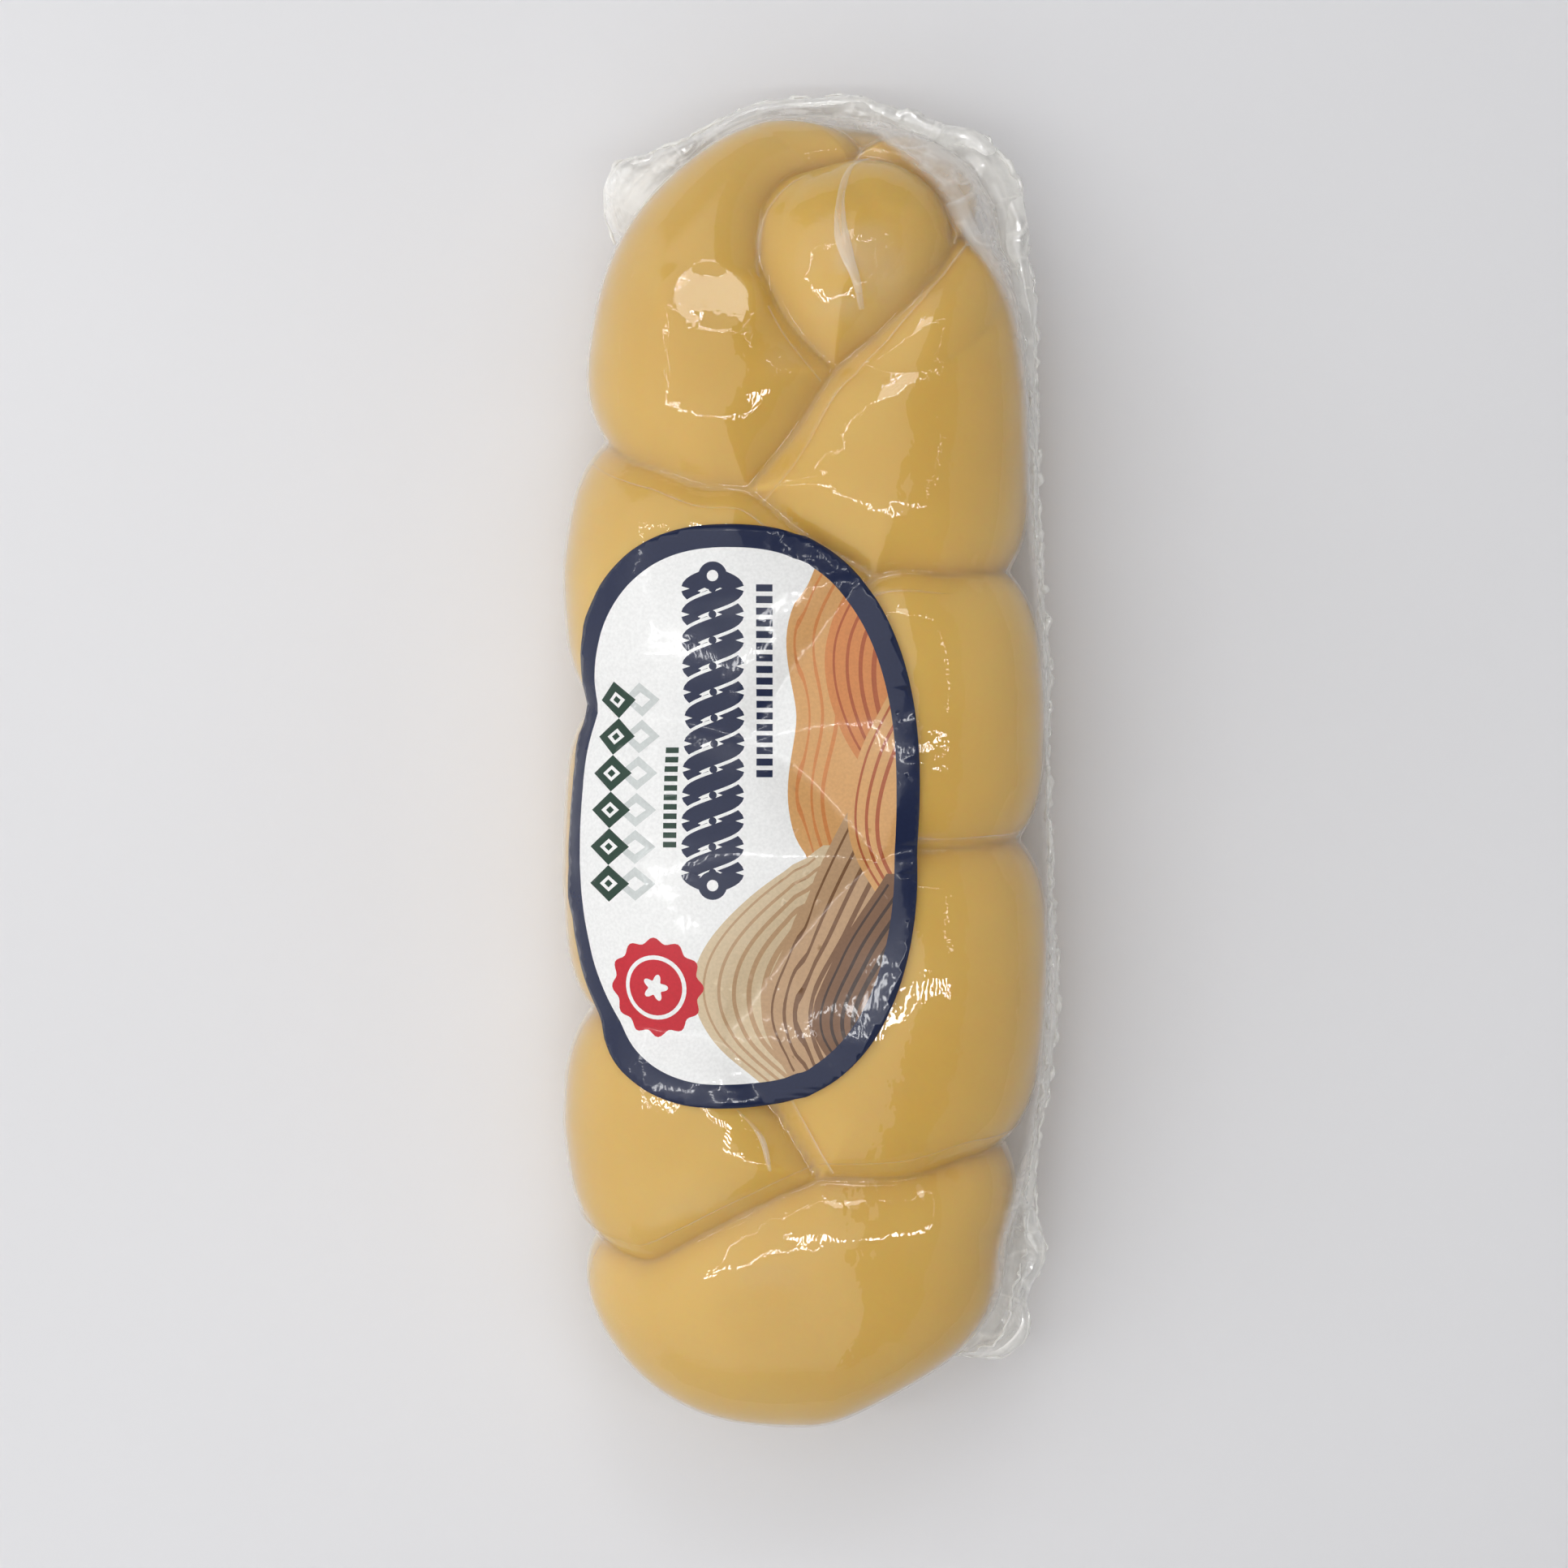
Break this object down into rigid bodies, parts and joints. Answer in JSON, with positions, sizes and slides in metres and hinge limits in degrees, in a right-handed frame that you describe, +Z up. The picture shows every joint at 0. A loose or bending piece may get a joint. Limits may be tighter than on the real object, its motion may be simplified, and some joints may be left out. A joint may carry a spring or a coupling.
{
  "type": "braided smoked cheese in shrink film",
  "caption": "Plaited smoked kashkaval cheese loaf, tight in clear shrink film with a crumpled film frill and an oval label on top.",
  "frame": {"origin": "on the surface it rests on, on the flat spot under the braid's middle", "axes": "+Z up, +Y along the braid towards the end with the knob, +X towards the side with the film frill"},
  "size_m": [0.0727, 0.1947, 0.0455],
  "materials": {
    "cheese": "smoked golden cheese seen through tight glossy film",
    "film": "clear glossy crumpled shrink film",
    "label": "satin printed label with a dark blue border and plain shapes"
  },
  "bodies": {
    "root": {"cheese_braid": "cheese", "film_frill": "film", "oval_label": "label"}
  },
  "joints": []
}
